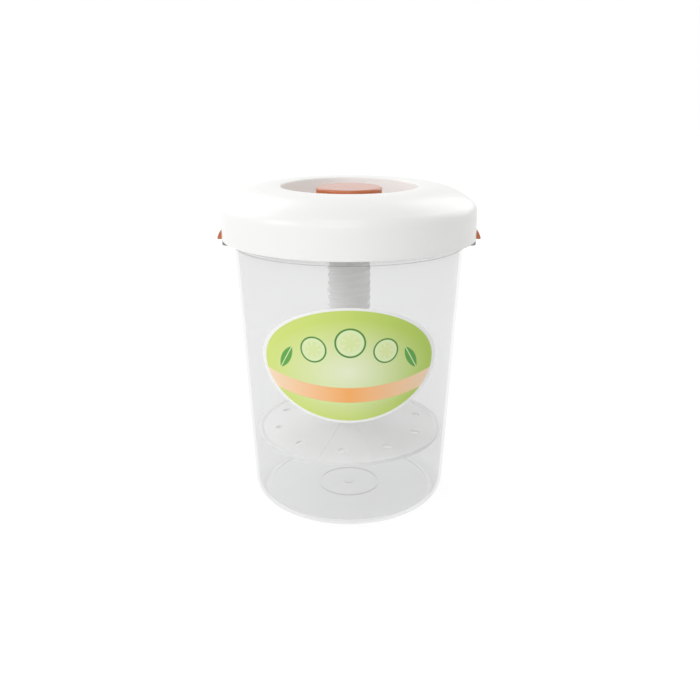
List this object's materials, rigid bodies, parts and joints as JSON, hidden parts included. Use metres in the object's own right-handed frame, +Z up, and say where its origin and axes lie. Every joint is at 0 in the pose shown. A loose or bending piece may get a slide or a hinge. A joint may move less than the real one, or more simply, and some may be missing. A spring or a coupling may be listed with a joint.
{
  "type": "pickle keeper with lift strainer",
  "caption": "Round clear jar with a domed lid and side clips; a knob on a coarse screw through the lid raises and lowers a perforated strainer plate.",
  "frame": {"origin": "Centre of the foot ring's face, at the bottom of the jar, where the keeper stands.", "axes": "+Z is up along the screw's axis; -Y is the front, where the label is; +X is the viewer's right, where one clip is, and -X has the other clip."},
  "size_m": [0.2368, 0.2292, 0.2958],
  "materials": {
    "clear_plastic": "clear, glossy, moulded",
    "label_film": null,
    "white_gloss": "white, semi-gloss, moulded",
    "gasket_rubber": "pale silicone rubber",
    "amber_brown": "orange-brown, glossy, slightly see-through",
    "pin_steel": "stainless wire",
    "white_matte": "white, satin, moulded"
  },
  "bodies": {
    "jar": {"jar": "clear_plastic", "jar_label": "label_film"},
    "lid": {"lid_cover": "white_gloss", "lid_liner": "white_gloss", "lid_gasket": "gasket_rubber", "clip_pin_left": "pin_steel", "clip_pin_right": "pin_steel"},
    "clip_left": {"clip_left": "amber_brown"},
    "clip_right": {"clip_right": "amber_brown"},
    "strainer": {"strainer": "white_matte"},
    "screw": {"screw_rod": "white_matte", "knob": "amber_brown", "rod_end_cap": "white_matte"}
  },
  "joints": [
    {"name": "lid_lift", "type": "slide", "parent": "jar", "child": "lid", "axis": [0, 0, 1], "range_m": [0, 0.23]},
    {"name": "clip_left_swing", "type": "hinge", "parent": "lid", "child": "clip_left", "pos_m": [-0.1096, 0, 0.2683], "axis": [0, 1, 0], "range_deg": [0, 75]},
    {"name": "clip_right_swing", "type": "hinge", "parent": "lid", "child": "clip_right", "pos_m": [0.1096, 0, 0.2683], "axis": [0, -1, 0], "range_deg": [0, 75]},
    {"name": "strainer_travel", "type": "slide", "parent": "lid", "child": "strainer", "axis": [0, 0, 1], "range_m": [0, 0.168]},
    {"name": "knob_turn", "type": "hinge", "parent": "strainer", "child": "screw", "pos_m": [0, 0, 0.0761], "axis": [0, 0, 1], "range_deg": [0, 4320]}
  ],
  "couplings": [
    {"joint": "strainer_travel", "follows": "knob_turn", "m_per_rad": 0.0022282}
  ]
}
